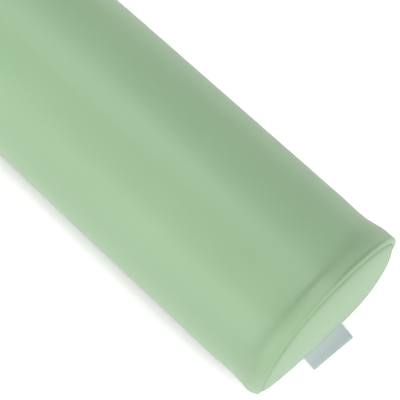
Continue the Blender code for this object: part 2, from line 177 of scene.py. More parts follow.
def to_opening(x, turn):
    """Distance over the cloth to the edge of the zip's opening, negative inside it."""
    past_end = np.abs(x) - OPENING_HALF_LENGTH
    past_side = np.abs(off_zip(turn)) - OPENING_HALF_WIDTH
    outside = np.hypot(np.maximum(past_end, 0), np.maximum(past_side, 0))
    return outside + np.minimum(np.maximum(past_end, past_side), 0)


def sewing(x, turn):
    """What the zip's hem, its row of stitches and the lengthwise seam add to the radius."""
    edge = to_opening(x, turn)
    bent = np.clip(FOLD_RADIUS - edge, 0, FOLD_RADIUS)
    fold = FOLD_RADIUS - np.sqrt(FOLD_RADIUS**2 - bent**2)
    hem = HEM_RISE * ease(HEM_WIDTH - edge, *HEM_STEP)
    stitches = TOPSTITCH_DIP * np.exp(-(((edge - TOPSTITCH_INSET) / TOPSTITCH_REACH) ** 2))
    hem_end = OPENING_HALF_LENGTH + HEM_WIDTH
    past_hem = ease(np.abs(x), hem_end, hem_end + HEM_WIDTH)
    seam = SEAM_DIP * past_hem * np.exp(-np.abs(off_zip(turn)) / SEAM_REACH)
    return hem - fold - stitches - seam


def unevenness(x, turn):
    """Slow swells of the foam under the cloth, and short ripples that grow towards the rim."""
    y, z = BODY_RADIUS * cos(turn), BODY_RADIUS * sin(turn)
    along, across = SWELL_WAVES
    swell = noise.noise(Vector((x * along, y * across, z * across)))
    along, across = RIPPLE_WAVES
    ripple = noise.noise(Vector((x * along, y * across + RIPPLE_SHIFT, z * across)))
    near_end = float(ease(abs(x), RIPPLE_START_X, RIM_X))
    return FOAM_SWELL * swell + (RIPPLE + RIM_RIPPLE * near_end) * ripple


def on_floor(height):
    """Presses heights near and below the floor up against it."""
    return (height + np.sqrt(height**2 + FLOOR_SOFTNESS**2)) / 2


def round_axis(x, radius, turn):
    """Points at a radius round the roller's axis, resting on the floor."""
    height = on_floor(AXIS_HEIGHT + radius * np.sin(turn))
    return np.stack([x, radius * np.cos(turn), height], axis=-1)


def at_top(turns):
    """1 where the roller's top is free to swell, and 0 from its sides down to the floor."""
    return np.clip(np.sin(turns - FREE_TURN), 0, 1) ** 2


def at_near_side(turns):
    """1 where the roller's near side turns under, and 0 from its top round to the far side."""
    return np.clip(np.cos(turns - NEAR_TURN), 0, 1) ** 3


def rim_rise(side, turns):
    """How much further the rim stands out at an angle, by its lean and its swell."""
    lean = (FRONT_RIM_LEAN if side > 0 else REAR_RIM_LEAN) * np.cos(turns)
    share = np.clip((turns % (2 * pi) - SWELL_START) / (SWELL_END - SWELL_START), 0, 1)
    return lean + SWELL * np.sin(pi * share)


def crease_radius(turns):
    """Radius of the end seam at an angle."""
    drop = NEAR_CREASE_DROP * at_near_side(turns)
    return CREASE_RADIUS + TOP_CREASE_RISE * at_top(turns) - drop


def rim_rings(side, turns):
    """(x, radius) rings over the rim, round its folded edge, and back as seam allowance.

    At the labelled end, the far side's fold also overhangs the seam.
    """
    free = np.clip(np.cos(turns - FREE_TURN), 0, 1) ** 2 if side > 0 else np.zeros(len(turns))
    fold = RIM_FOLD + (FREE_FOLD - RIM_FOLD) * free + (NEAR_FOLD - RIM_FOLD) * at_near_side(turns)
    overhang = FREE_OVERHANG * free
    centre = CREASE_X - CREASE_HALF_WIDTH - fold * np.cos(overhang)
    height = crease_radius(turns) + fold * np.sin(overhang)
    crown = tube_radius(RIM_X) + rim_rise(side, turns)
    tilt = np.arctan(RIM_STEEPNESS * (crown - height - fold) / (centre - RIM_X))
    run = centre + fold * np.sin(tilt) - RIM_X
    fall = crown - height - fold * np.cos(tilt)
    rings = []
    for share in RIM_SHARES:
        eased = share**2 * (3 - 2 * share) * fall + (share**3 - share**2) * run * np.tan(tilt)
        ridge = RIDGE * np.exp(-(((1 - share) * run / RIDGE_WIDTH) ** 2))
        rings.append((RIM_X + run * share, crown - eased + ridge))
    for share in FOLD_SHARES:
        turned = tilt + (pi / 2 + overhang + TUCK - tilt) * share
        ridge = RIDGE * np.clip(np.cos((turned - tilt) * RIDGE_TAIL), 0, 1)
        rings.append((centre + fold * np.sin(turned), height + fold * np.cos(turned) + ridge))
    rings.append((np.full(len(turns), ALLOWANCE_X), rings[-1][1]))
    return rings


def panel_rings(side, turns):
    """(x, radius) rings of half the panel, closer together at the opening's end and the rim."""
    even = np.arange(EVEN_RINGS) * EVEN_STEP
    hem = [OPENING_HALF_LENGTH + line * MM for line in HEM_LINES]
    rings = []
    for x in (*even, *hem, *np.linspace(NECK_START_X, RIM_X, NECK_RINGS)):
        radius = tube_radius(x) + rim_rise(side, turns) * ease(x, SWELL_X, RIM_X)
        shift = ease(x, SHOULDER_X, NECK_X) - ease(x, NECK_X, RIM_X)
        shifted = x + TOP_NECK_SHIFT * shift * at_top(turns)
        rings.append((shifted, radius + sewing(shifted, turns)))
    return rings + rim_rings(side, turns)


def panel_turns():
    """Angles of the panel's columns, starting beside the zip."""
    close = [line * MM for line in ZIP_LINES]
    close += [OPENING_HALF_WIDTH + line * MM for line in HEM_LINES]
    lines = sorted({sign * line / BODY_RADIUS for line in close for sign in (-1, 1)})
    even = np.linspace(lines[-1], 2 * pi + lines[0], EVEN_COLUMNS + 1)[1:-1]
    return ZIP_TURN + np.concatenate([lines, even])


def grid_faces(rows, columns, first=0, closed=True):
    """Faces between rows of points that are numbered from first; closed rows run round."""
    faces = []
    for start in range(first, first + (rows - 1) * columns, columns):
        for j in range(columns if closed else columns - 1):
            a, b = start + j, start + (j + 1) % columns
            faces.append((a, a + columns, b + columns, b))
    return faces


def new_object(name, data):
    """An object in the scene that shows a mesh, a lamp or a camera."""
    made = bpy.data.objects.new(name, data)
    bpy.context.scene.collection.objects.link(made)
    return made


def add_piece(name, points, faces, finish, slot):
    """Makes a smooth mesh piece in a finish, which rides on the roller. The slot is not used."""
    mesh = bpy.data.meshes.new(name)
    mesh.from_pydata([tuple(p) for p in points], [], faces)
    mesh.shade_smooth()
    mesh.materials.append(finish)
    piece = new_object(name, mesh)
    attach(piece, "roller")
    return piece


def finish_modifiers(piece):
    """Makes the evaluated mesh the piece's own and removes its modifiers."""
    graph = bpy.context.evaluated_depsgraph_get()
    made = bpy.data.meshes.new_from_object(piece.evaluated_get(graph))
    piece.modifiers.clear()
    piece.data = made
    made.name = piece.name
    return piece


def give_thickness(piece, thickness):
    """Turns a single skin into cloth of that thickness, on the side away from its face."""
    wall = piece.modifiers.new("cloth", "SOLIDIFY")
    wall.thickness = thickness
    wall.offset = -1.0
    wall.use_rim = True
    return finish_modifiers(piece)


def add_node(tree, kind, values=None, links=None, **settings):
    """Adds a node, sets its options, gives its sockets values, and links others to them."""
    node = tree.nodes.new(kind)
    for key, value in settings.items():
        setattr(node, key, value)
    for key, value in (values or {}).items():
        node.inputs[key].default_value = value
    for key, source in (links or {}).items():
        tree.links.new(source, node.inputs[key])
    return node


def linear(code):
    """An sRGB hex colour as linear red, green, blue and alpha."""
    parts = [int(code[i : i + 2], 16) / 255 for i in (1, 3, 5)]
    return (*[p / 12.92 if p <= 0.04045 else ((p + 0.055) / 1.055) ** 2.4 for p in parts], 1.0)


def new_material(name):
    """An empty node material, its tree, its surface socket and its object coordinates."""
    made = bpy.data.materials.new(name)
    made.use_nodes = True
    tree = made.node_tree
    tree.nodes.clear()
    surface = add_node(tree, "ShaderNodeOutputMaterial").inputs["Surface"]
    return made, tree, surface, add_node(tree, "ShaderNodeTexCoord").outputs["Object"]


def two_tone(tree, first, second, share):
    """A colour that a socket from 0 to 1 moves between two hex colours."""
    mixed = add_node(
        tree,
        "ShaderNodeMix",
        {"A": linear(first), "B": linear(second)},
        {"Factor": share},
        data_type="RGBA",
    )
    return mixed.outputs["Result"]


def two_sheens(tree, smooth, rough, cloud):
    """A roughness that a cloud of noise, mostly from 0.3 to 0.7, moves between two values."""
    spread = add_node(
        tree,
        "ShaderNodeMapRange",
        {"From Min": 0.3, "From Max": 0.7, "To Min": smooth, "To Max": rough},
        {"Value": cloud},
    )
    return spread.outputs["Result"]


def relief(tree, height, depth, strength):
    """A normal that shows a socket from 0 to 1 as a relief of a depth."""
    bump = add_node(
        tree, "ShaderNodeBump", {"Strength": strength, "Distance": depth}, {"Height": height}
    )
    return bump.outputs["Normal"]


# Vinyl leathercloth: an embossed pebble grain under a satin top coat, pale green all through.
# The grain is 0.9 mm, finer than the picture shows, so from afar it only softens the gloss. The
# pebbles hide the gloss from a glancing look, so the roller's edges don't flare.
GRAIN = 0.9 * MM
PORE = 0.3 * MM
GRAIN_DEPTH = 0.03 * MM
leathercloth, tree, surface, place = new_material("vinyl_leathercloth")
pebbles = add_node(
    tree,
    "ShaderNodeTexVoronoi",
    {"Scale": 1 / GRAIN, "Smoothness": 0.6},
    {"Vector": place},
    feature="SMOOTH_F1",
)
pores = add_node(tree, "ShaderNodeTexNoise", {"Scale": 1 / PORE, "Detail": 2.0}, {"Vector": place})
grain = add_node(
    tree,
    "ShaderNodeMix",
    {"Factor": 0.3},
    {"A": pebbles.outputs["Distance"], "B": pores.outputs["Fac"]},
)
cloud = add_node(tree, "ShaderNodeTexNoise", {"Scale": 11.0, "Detail": 3.0}, {"Vector": place})
# Painted shade: the cloth turns a darker green close to the end seam, by this attribute
painted_seam_shade = add_node(tree, "ShaderNodeAttribute", attribute_name="painted_seam_shade")
green = add_node(
    tree,
    "ShaderNodeMix",
    {"B": linear("#5F7A5A")},
    {
        "A": two_tone(tree, "#91B08B", "#98B692", cloud.outputs["Fac"]),
        "Factor": painted_seam_shade.outputs["Fac"],
    },
    data_type="RGBA",
)
glance = add_node(tree, "ShaderNodeLayerWeight", {"Blend": 0.5})
shine = add_node(
    tree,
    "ShaderNodeMapRange",
    {"From Min": 0.5, "From Max": 0.95, "To Min": 0.30, "To Max": 0.02},
    {"Value": glance.outputs["Facing"]},
)
vinyl = add_node(
    tree,
    "ShaderNodeBsdfPrincipled",
    {"IOR": 1.45},
    {
        "Base Color": green.outputs["Result"],
        "Roughness": two_sheens(tree, 0.31, 0.36, cloud.outputs["Fac"]),
        "Specular IOR Level": shine.outputs["Result"],
        "Normal": relief(tree, grain.outputs["Result"], GRAIN_DEPTH, 0.5),
    },
)
tree.links.new(vinyl.outputs["BSDF"], surface)


def build_panel():
    """Lays the panel's rings and columns out, leaving the zip's opening free."""
    turns = panel_turns()
    rings = [(-1, *ring) for ring in reversed(panel_rings(-1, turns)[1:])]
    rings += [(1, *ring) for ring in panel_rings(1, turns)]
    points = []
    for side, x, radius in rings:
        bumps = np.array([unevenness(side * a, t) for a, t in zip(x, turns)])
        points += round_axis(drifted(side, x, turns), radius + bumps, turns).tolist()
    along = [x.min() <= OPENING_HALF_LENGTH + ROUNDING for _, x, _ in rings]
    across = np.abs(turns - ZIP_TURN) <= OPENING_HALF_WIDTH / BODY_RADIUS + ROUNDING
    faces = []
    for face in grid_faces(len(rings), len(turns)):
        corners = [divmod(corner, len(turns)) for corner in face]
        if not all(along[ring] and across[column] for ring, column in corners):
            faces.append(face)
    return points, faces


def fold_edge_in(piece):
    """Turns the cloth down at the opening's edge, towards the zip."""
    shape = bmesh.new()
    shape.from_mesh(piece.data)
    bmesh.ops.delete(shape, geom=[v for v in shape.verts if not v.link_faces], context="VERTS")
    rim = [e for e in shape.edges if e.is_boundary and abs(e.verts[0].co.x) < NECK_X]
    made = bmesh.ops.extrude_edge_only(shape, edges=rim)["geom"]
    for vertex in [v for v in made if isinstance(v, bmesh.types.BMVert)]:
        across = Vector((0, vertex.co.y, vertex.co.z - AXIS_HEIGHT))
        vertex.co -= across.normalized() * FOLD_WALL
    bmesh.ops.recalc_face_normals(shape, faces=shape.faces)
    shape.to_mesh(piece.data)
    shape.free()
    return piece


side_panel = add_piece("cover_side_panel", *build_panel(), leathercloth, "leathercloth")
give_thickness(fold_edge_in(side_panel), CLOTH)
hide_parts("side_panel")

# Row of stitches round the zip
# One row of lockstitch in bonded polyester thread, 3 mm outside the opening. It holds the turned
# hem and the zip's tapes together, and each stitch pulls a little dimple into the cloth.
TOPSTITCH = {"Pitch": 3.2 * MM, "Length": 2.7 * MM, "Thread": 0.55 * MM}
CORNER_STEP = 15

# At scale 1, a Wave texture's band is this wide
BAND_WIDTH = 2 * pi / 20


def bands(tree, place, width, direction, distortion):
    """Soft, slightly uneven bands of a width along an axis, as a socket from 0 to 1."""
    wave = add_node(
        tree,
        "ShaderNodeTexWave",
        {"Scale": BAND_WIDTH / width, "Distortion": distortion, "Detail": 1.0},
        {"Vector": place},
        wave_type="BANDS",
        bands_direction=direction,
    )
    return wave.outputs["Fac"]


# Bonded polyester thread: three plies twisted together under a waxy bond. The twist is 0.9 mm
# long, and it breaks the soft shine up into short slanting glints. Diagonal bands come out twice
# as wide along each axis.
TWIST = 0.9 * MM
sewing_thread, tree, surface, place = new_material("bonded_polyester_thread")
plies = bands(tree, place, TWIST / 2, "DIAGONAL", 1.2)
fibre = add_node(
    tree,
    "ShaderNodeBsdfPrincipled",
    {"Roughness": 0.45, "IOR": 1.53},
    {
        "Base Color": two_tone(tree, "#A3BF9D", "#B7CFB1", plies),
        "Normal": relief(tree, plies, 0.06 * MM, 0.6),
    },
)
tree.links.new(fibre.outputs["BSDF"], surface)


def on_cover(side, x, turn):
    """The point of the cover's face at a distance from the middle towards an end."""
    radius = tube_radius(x) + sewing(x, turn) + unevenness(side * x, turn)
    return round_axis(drifted(side, x, turn), radius, turn)


def stitch_line():
    """Points 1 mm apart on the cover, along a rounded rectangle outside the opening."""
    half_x, half_y = OPENING_HALF_LENGTH + TOPSTITCH_INSET, OPENING_HALF_WIDTH + TOPSTITCH_INSET
    quarter = [(x, half_y) for x in np.arange(0, OPENING_HALF_LENGTH, MM)]
    for bend in np.radians(np.arange(0, 90, CORNER_STEP)):
        x = OPENING_HALF_LENGTH + TOPSTITCH_INSET * sin(bend)
        quarter.append((x, OPENING_HALF_WIDTH + TOPSTITCH_INSET * cos(bend)))
    quarter += [(half_x, y) for y in reversed(np.arange(0, OPENING_HALF_WIDTH, MM)[1:])]
    line = []
    for side, across, order in ((1, 1, 1), (1, -1, -1), (-1, -1, 1), (-1, 1, -1)):
        for x, y in quarter[::order]:
            line.append(on_cover(side, x, ZIP_TURN + across * y / BODY_RADIUS))
    return line


def add_line(name, points, closed):
    """Puts a line of points into the scene as an object."""
    count = len(points)
    mesh = bpy.data.meshes.new(name)
    edges = [(i, (i + 1) % count) for i in range(count if closed else count - 1)]
    mesh.from_pydata([tuple(p) for p in points], edges, [])
    return new_object(name, mesh)


def new_tree(name, sizes):
    """An empty Geometry Nodes tree, its given line as a curve, its sizes, and its result."""
    made = bpy.data.node_groups.new(name, "GeometryNodeTree")
    made.interface.new_socket("Geometry", in_out="INPUT", socket_type="NodeSocketGeometry")
    for size in sizes:
        made.interface.new_socket(size, in_out="INPUT", socket_type="NodeSocketFloat")
    made.interface.new_socket("Geometry", in_out="OUTPUT", socket_type="NodeSocketGeometry")
    given = add_node(made, "NodeGroupInput").outputs
    line = add_node(made, "GeometryNodeMeshToCurve", {}, {"Mesh": given["Geometry"]})
    result = add_node(made, "NodeGroupOutput").inputs["Geometry"]
    return made, line.outputs["Curve"], given, result


def halved(tree, number):
    """Half of a socket's value."""
    half = add_node(tree, "ShaderNodeMath", {1: 0.5}, {0: number}, operation="MULTIPLY")
    return half.outputs["Value"]


def give_finish(tree, geometry, finish, result):
    """Ends a Geometry Nodes tree with real geometry in a material."""
    solid = add_node(tree, "GeometryNodeRealizeInstances", {}, {"Geometry": geometry})
    dyed = add_node(
        tree,
        "GeometryNodeSetMaterial",
        {"Material": finish},
        {"Geometry": solid.outputs["Geometry"]},
    )
    tree.links.new(dyed.outputs["Geometry"], result)


def grow(piece, tree, sizes):
    """Runs a Geometry Nodes tree on a piece at the given sizes and keeps the mesh it makes."""
    step = piece.modifiers.new(tree.name, "NODES")
    step.node_group = tree
    for socket in tree.interface.items_tree:
        if socket.in_out == "INPUT" and socket.name in sizes:
            step[socket.identifier] = sizes[socket.name]
    finish_modifiers(piece)
    piece.data.shade_smooth()


stitching, line, size, result = new_tree("row_of_stitches", ("Pitch", "Length", "Thread"))
marks = add_node(
    stitching,
    "GeometryNodeCurveToPoints",
    {},
    {"Curve": line, "Length": size["Pitch"]},
    mode="LENGTH",
)
bead = add_node(stitching, "GeometryNodeMeshUVSphere", {"Segments": 8, "Rings": 6, "Radius": 1.0})
half_thread = halved(stitching, size["Thread"])
shape = add_node(
    stitching,
    "ShaderNodeCombineXYZ",
    {},
    {"X": half_thread, "Y": half_thread, "Z": halved(stitching, size["Length"])},
)
placed = add_node(
    stitching,
    "GeometryNodeInstanceOnPoints",
    {},
    {
        "Points": marks.outputs["Points"],
        "Instance": bead.outputs["Mesh"],
        "Rotation": marks.outputs["Rotation"],
        "Scale": shape.outputs["Vector"],
    },
)
give_finish(stitching, placed.outputs["Instances"], sewing_thread, result)


def add_stitches(name, points, closed, sizes):
    """Sews a row of stitches along a line of points."""
    row = add_line(name, points, closed)
    grow(row, stitching, sizes)
    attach(row, "roller")


add_stitches("zip_topstitching", stitch_line(), True, TOPSTITCH)

# Zip tapes
# Two bands of woven polyester, 12.5 mm wide, dyed with the cover. They lie edge to edge under the
# opening, sewn in between the hem and the foam, and carry a coil each.
TAPE_RADIUS = 0.07188
TAPE_WIDTH = 12.5 * MM
TAPE_GAP = 0.3 * MM
TAPE_HALF_LENGTH = 0.260
TAPE = 0.6 * MM
TAPE_RIPPLE = 0.06 * MM
TAPE_WAVES = (60, 300)
TAPE_ROWS = 131
TAPE_COLUMNS = 15

# Woven polyester tape: a plain weave of fine yarns. The yarns are 0.5 mm apart, twice the real
# spacing, and give the band a dry, ribbed look beside the smooth cover.
YARN = 0.5 * MM
tape_weave, tree, surface, place = new_material("woven_polyester_tape")
laid = add_node(tree, "ShaderNodeMapping", {"Rotation": (-ZIP_TURN, 0, 0)}, {"Vector": place})
ribs = bands(tree, laid.outputs["Vector"], YARN, "X", 0.8)
picks = bands(tree, laid.outputs["Vector"], YARN, "Z", 0.8)
woven = add_node(tree, "ShaderNodeMix", {"Factor": 0.5}, {"A": ribs, "B": picks})
weave = add_node(
    tree,
    "ShaderNodeBsdfPrincipled",
    {"Roughness": 0.8, "Sheen Weight": 0.2},
    {
        "Base Color": two_tone(tree, "#6F8E69", "#8EAC87", woven.outputs["Result"]),
        "Normal": relief(tree, woven.outputs["Result"], 0.15 * MM, 0.8),
    },
)
tree.links.new(weave.outputs["BSDF"], surface)


def build_tape(side):
    """A strip of a cylinder beside the zip's middle line."""
    across = side * (TAPE_GAP / 2 + TAPE_WIDTH * np.linspace(0, 1, TAPE_COLUMNS))
    turns = ZIP_TURN + across / TAPE_RADIUS
    points = []
    for x in np.linspace(-TAPE_HALF_LENGTH, TAPE_HALF_LENGTH, TAPE_ROWS):
        places = [(x * TAPE_WAVES[0], a * TAPE_WAVES[1], side) for a in across]
        ripple = TAPE_RIPPLE * (np.array([noise.noise(Vector(p)) for p in places]) - 1)
        points += round_axis(np.full(TAPE_COLUMNS, x), TAPE_RADIUS + ripple, turns).tolist()
    faces = grid_faces(TAPE_ROWS, TAPE_COLUMNS, closed=False)
    return points, faces if side > 0 else [f[::-1] for f in faces]


for side, name in ((1, "left"), (-1, "right")):
    band = add_piece(f"zip_tape_weave_{name}", *build_tape(side), tape_weave, "zip_tape")
    give_thickness(band, TAPE)
    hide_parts(f"zip_tape_{name}")

# Zip coils
# Each is one nylon monofilament wound into a long flat spiral and sewn to its tape. The loops
# reach past the middle line and lock between those of the other coil, half a pitch on.
COIL_PITCH = 1.5 * MM
WIRE = 0.62 * MM
COIL_HALF_LENGTH = 0.2443

# The loop's section: its reach past the zip's middle and back from it, its heights over the
# roller's axis, its rounding, and how much of the pitch the wire moves on by after the heel
COIL_HEAD = 0.28 * MM
COIL_HEEL = -2.54 * MM
COIL_FLOOR = 72.24 * MM
COIL_CREST = 73.38 * MM
COIL_BEND = 0.42 * MM
FRONT_SPANS = 8
HEEL_ADVANCE = 0.7

# One stitch over each loop, sunk a little into the crest
COIL_STITCH = {"Pitch": COIL_PITCH, "Length": 1.3 * MM, "Thread": 0.3 * MM}
COIL_STITCH_Y = 1.9 * MM
COIL_STITCH_SINK = 0.02 * MM
COIL_STITCH_STEP = 2 * MM
ZIP_FRAME = Matrix.Translation((0, 0, AXIS_HEIGHT)) @ Matrix.Rotation(radians(-135), 4, "X")

# Nylon monofilament: extruded thread heat-set into its loops. It is a little darker than the
# cover and glossier, with faint clouds in the dye.
nylon, tree, surface, place = new_material("nylon_monofilament")
cloud = add_node(tree, "ShaderNodeTexNoise", {"Scale": 90.0, "Detail": 3.0}, {"Vector": place})
filament = add_node(
    tree,
    "ShaderNodeBsdfPrincipled",
    {"IOR": 1.53, "Subsurface Weight": 0.1, "Subsurface Scale": 0.3 * MM},
    {
        "Base Color": two_tone(tree, "#7E9E77", "#92B08B", cloud.outputs["Fac"]),
        "Roughness": two_sheens(tree, 0.26, 0.4, cloud.outputs["Fac"]),
    },
)
tree.links.new(filament.outputs["BSDF"], surface)


def loop_outline():
    """One loop seen along the zip: (share of the pitch, towards the head, height) in order.

    It starts on the crest, goes down round the head, back along the tape and up at the heel.
    The wire runs nearly square to the zip as far as the heel, and moves on from there.
    """
    corners = []
    for centre_y, centre_z, start in (
        (COIL_HEAD - COIL_BEND, COIL_CREST - COIL_BEND, 90),
        (COIL_HEAD - COIL_BEND, COIL_FLOOR + COIL_BEND, 0),
        (COIL_HEEL + COIL_BEND, COIL_FLOOR + COIL_BEND, -90),
        (COIL_HEEL + COIL_BEND, COIL_CREST - COIL_BEND, -180),
    ):
        for angle in np.radians((start, start - 45, start - 90)):
            y, z = centre_y + COIL_BEND * cos(angle), centre_z + COIL_BEND * sin(angle)
            corners.append((y, z))
    spans = [hypot(b[0] - a[0], b[1] - a[1]) for a, b in zip(corners, corners[1:] + corners[:1])]
    front, heel = sum(spans[:FRONT_SPANS]), sum(spans[FRONT_SPANS:])
    shares = [0.0]
    for i, span in enumerate(spans[:-1]):
        advance = (1 - HEEL_ADVANCE) / front if i < FRONT_SPANS else HEEL_ADVANCE / heel
        shares.append(shares[-1] + span * advance)
    return [(share, y, z) for share, (y, z) in zip(shares, corners)]


coiling, line, size, result = new_tree("wound_coil", ("Wire",))
round_wire = add_node(
    coiling,
    "GeometryNodeCurvePrimitiveCircle",
    {"Resolution": 6},
    {"Radius": halved(coiling, size["Wire"])},
)
swept = add_node(
    coiling,
    "GeometryNodeCurveToMesh",
    {"Fill Caps": True},
    {"Curve": line, "Profile Curve": round_wire.outputs["Curve"]},
)
give_finish(coiling, swept.outputs["Mesh"], nylon, result)

outline = loop_outline()
loops = int(2 * COIL_HALF_LENGTH / COIL_PITCH) - 1
seat_end = COIL_HALF_LENGTH - COIL_STITCH_STEP
seat_height = COIL_CREST + WIRE / 2 - COIL_STITCH_SINK
for side, name in ((1, "left"), (-1, "right")):
    start = -COIL_HALF_LENGTH + COIL_PITCH * (0.5 if side > 0 else 1.0)
    points = [
        ZIP_FRAME @ Vector((start + COIL_PITCH * (i + share), -side * y, z))
        for i in range(loops)
        for share, y, z in outline
    ]
    coil = add_line(f"zip_coil_{name}_wound", points, False)
    grow(coil, coiling, {"Wire": WIRE})
    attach(coil, "roller")
    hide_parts(f"zip_coil_{name}")
    seat = [
        ZIP_FRAME @ Vector((x, side * COIL_STITCH_Y, seat_height))
        for x in np.arange(-seat_end, seat_end, COIL_STITCH_STEP)
    ]
    add_stitches(f"zip_coil_{name}_stitching", seat, False, COIL_STITCH)

# Zip stops, slider and pull
# Die-cast zinc, barrel plated with nickel. The stops are clamped over the ends of the coils, the
# slider runs between them, and the pull swings on the slider's bridge.
TUMBLED_EDGE = 0.22 * MM
SHARP_ANGLE = radians(25)
FLAT_ANGLE = radians(1)
WELD = 0.005 * MM

# Nickel plate on die-cast zinc: warm white metal, tumbled smooth, with a faint orange peel from
# the casting and slightly duller clouds where it has been handled.
nickel, tree, surface, place = new_material("nickel_plated_zinc")
cloud = add_node(tree, "ShaderNodeTexNoise", {"Scale": 260.0, "Detail": 4.0}, {"Vector": place})
peel = add_node(tree, "ShaderNodeTexNoise", {"Scale": 1400.0, "Detail": 2.0}, {"Vector": place})
plated = add_node(
    tree,
    "ShaderNodeBsdfPrincipled",
    {"Metallic": 1.0},
    {
        "Base Color": two_tone(tree, "#C9C4BB", "#DAD6CE", cloud.outputs["Fac"]),
        "Roughness": two_sheens(tree, 0.2, 0.34, cloud.outputs["Fac"]),
        "Normal": relief(tree, peel.outputs["Fac"], 0.02 * MM, 0.3),
    },
)
tree.links.new(plated.outputs["BSDF"], surface)


def cast_from(node, name, body):
    """A copy of a CAD node with the rounded edges of a tumbled casting."""
    shape = bmesh.new()
    shape.from_mesh(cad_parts[node].data)
    bmesh.ops.remove_doubles(shape, verts=shape.verts, dist=WELD)
    bmesh.ops.dissolve_limit(shape, angle_limit=FLAT_ANGLE, verts=shape.verts, edges=shape.edges)
    mesh = bpy.data.meshes.new(name)
    shape.to_mesh(mesh)
    shape.free()
    mesh.materials.clear()
    mesh.materials.append(nickel)
    mesh.shade_smooth()
    piece = new_object(name, mesh)
    rounded = piece.modifiers.new("tumbled edges", "BEVEL")
    rounded.width = TUMBLED_EDGE
    rounded.segments = 3
    rounded.limit_method = "ANGLE"
    rounded.angle_limit = SHARP_ANGLE
    rounded.harden_normals = True
    finish_modifiers(piece)
    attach(piece, body)
    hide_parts(node)


for node in ("zip_top_stop_left", "zip_top_stop_right", "zip_bottom_stop"):
    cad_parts[node].material_slots[0].material = nickel
cast_from("zip_slider", "zip_slider_body", "slider")
cast_from("zip_pull", "zip_pull_tab", "pull")

# End discs of the cover
# A round of the same leathercloth in each end, domed by the foam behind it. Its edge is sewn face
# to face with the side panel, so it dives into the crease and turns back beside the allowance.
DISC_RADIUS = CREASE_RADIUS - CREASE_HALF_WIDTH
SEAM_SINK = 0.5 * MM
SINK_REACH = 1.5 * MM
# How strongly the painted shade darkens the discs at the seam
SEAM_PAINTED_SHADE = 0.35

# The dome's rise, the powers that round it, and its lean towards +Y and +Z at the labelled end
CROWN = 9.6 * MM
CROWN_POWERS = (2.3, 0.66)
CROWN_LEAN = (0.36, -0.20)

# Puckers run in from the seam and dents lie in the middle, in waves per metre
PUCKER = 0.5 * MM
PUCKER_START = (0.72, 0.95)
PUCKER_END = (0.985, 1.0)
PUCKER_WAVES = 70
PUCKER_SEED = 3
DENT = 0.5 * MM
DENT_WAVES = 22
DENT_SEED = 5

DISC_COLUMNS = 200
DISC_RINGS = 26
RING_CROWDING = 2.4


def disc_face(side, share, turn):
    """How far out the disc's face lies, share 0 at its middle and 1 at its seam."""
    y, z = share * np.cos(turn), share * np.sin(turn)
    lean = 1 + CROWN_LEAN[0] * y + CROWN_LEAN[1] * z if side > 0 else 1.0
    pillow = (1 - share ** CROWN_POWERS[0]) ** CROWN_POWERS[1]
    drift = side * seam_drift(side, turn) * share**2 + SEAM_MEAN * (1 - share**2)
    sewn_in = SEAM_SINK * np.exp(-(1 - share) * DISC_RADIUS / SINK_REACH)
    return CREASE_X + (CROWN + END_X - CREASE_X) * pillow * lean + drift - sewn_in


def disc_bumps(side, share, turn):
    """Short puckers where the flat disc's edge is eased round, and shallow dents in the middle."""
    y, z = DISC_RADIUS * cos(turn), DISC_RADIUS * sin(turn)
    reach = float(ease(share, *PUCKER_START) * (1 - ease(share, *PUCKER_END)))
    pucker = noise.noise(Vector((side * PUCKER_SEED, y * PUCKER_WAVES, z * PUCKER_WAVES)))
    inwards = share * DENT_WAVES
    dent = noise.noise(Vector((side * DENT_SEED, y * inwards, z * inwards)))
    return PUCKER * reach * pucker + DENT * (1 - share**6) * dent


def fan_faces(middle, first, columns):
    """Faces between a middle point and a ring of points that is numbered from first."""
    return [(middle, first + j, first + (j + 1) % columns) for j in range(columns)]


def build_disc(side):
    """Rings of points from the middle out to the seam, then back in as seam allowance."""
    turns = np.linspace(0, 2 * pi, DISC_COLUMNS, endpoint=False)
    points = [(side * float(disc_face(side, 0.0, 0.0)), 0.0, AXIS_HEIGHT)]
    edge = crease_radius(turns) - CREASE_HALF_WIDTH
    for ring in range(1, DISC_RINGS + 1):
        share = 1 - (1 - ring / DISC_RINGS) ** RING_CROWDING
        bumps = np.array([disc_bumps(side, share, t) for t in turns])
        x = side * (disc_face(side, share, turns) + bumps)
        points += round_axis(x, edge * share, turns).tolist()
    back = side * ALLOWANCE_X + seam_drift(side, turns)
    points += round_axis(back, edge - RIM_FOLD / 2, turns).tolist()
    faces = fan_faces(0, 1, DISC_COLUMNS) + grid_faces(DISC_RINGS + 1, DISC_COLUMNS, first=1)
    return points, faces if side > 0 else [f[::-1] for f in faces]


def paint_seam_shade(disc):
    """Stores how near each point lies to the seam, as painted shade that darkens the cloth there.
    """
    near = []
    for _, y, z in [vertex.co for vertex in disc.data.vertices]:
        seam = float(crease_radius(atan2(z - AXIS_HEIGHT, y)))
        near.append(SEAM_PAINTED_SHADE * exp(min(hypot(y, z - AXIS_HEIGHT) - seam, 0) / SINK_REACH))
    layer = disc.data.attributes.new("painted_seam_shade", "FLOAT", "POINT")
    layer.data.foreach_set("value", near)
    return disc


for side, name in ((1, "front"), (-1, "rear")):
    disc = add_piece(f"cover_end_disc_{name}", *build_disc(side), leathercloth, "leathercloth")
    give_thickness(paint_seam_shade(disc), CLOTH)
    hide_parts(f"end_disc_{name}")

# Label
# Satin ribbon folded once, its ends sewn into the seam under the disc. It lies on the table,
# with the fold outwards and the two layers a little apart at one side. Its face is bare.
LABEL_WIDTH = 41 * MM
LABEL_OFFSET = 3.5 * MM
LABEL_REACH = 17 * MM
LABEL_TURN = radians(7)
LABEL_ROOT_X = END_X - 2.4 * MM
LABEL_ROOT_HEIGHT = 2.2 * MM

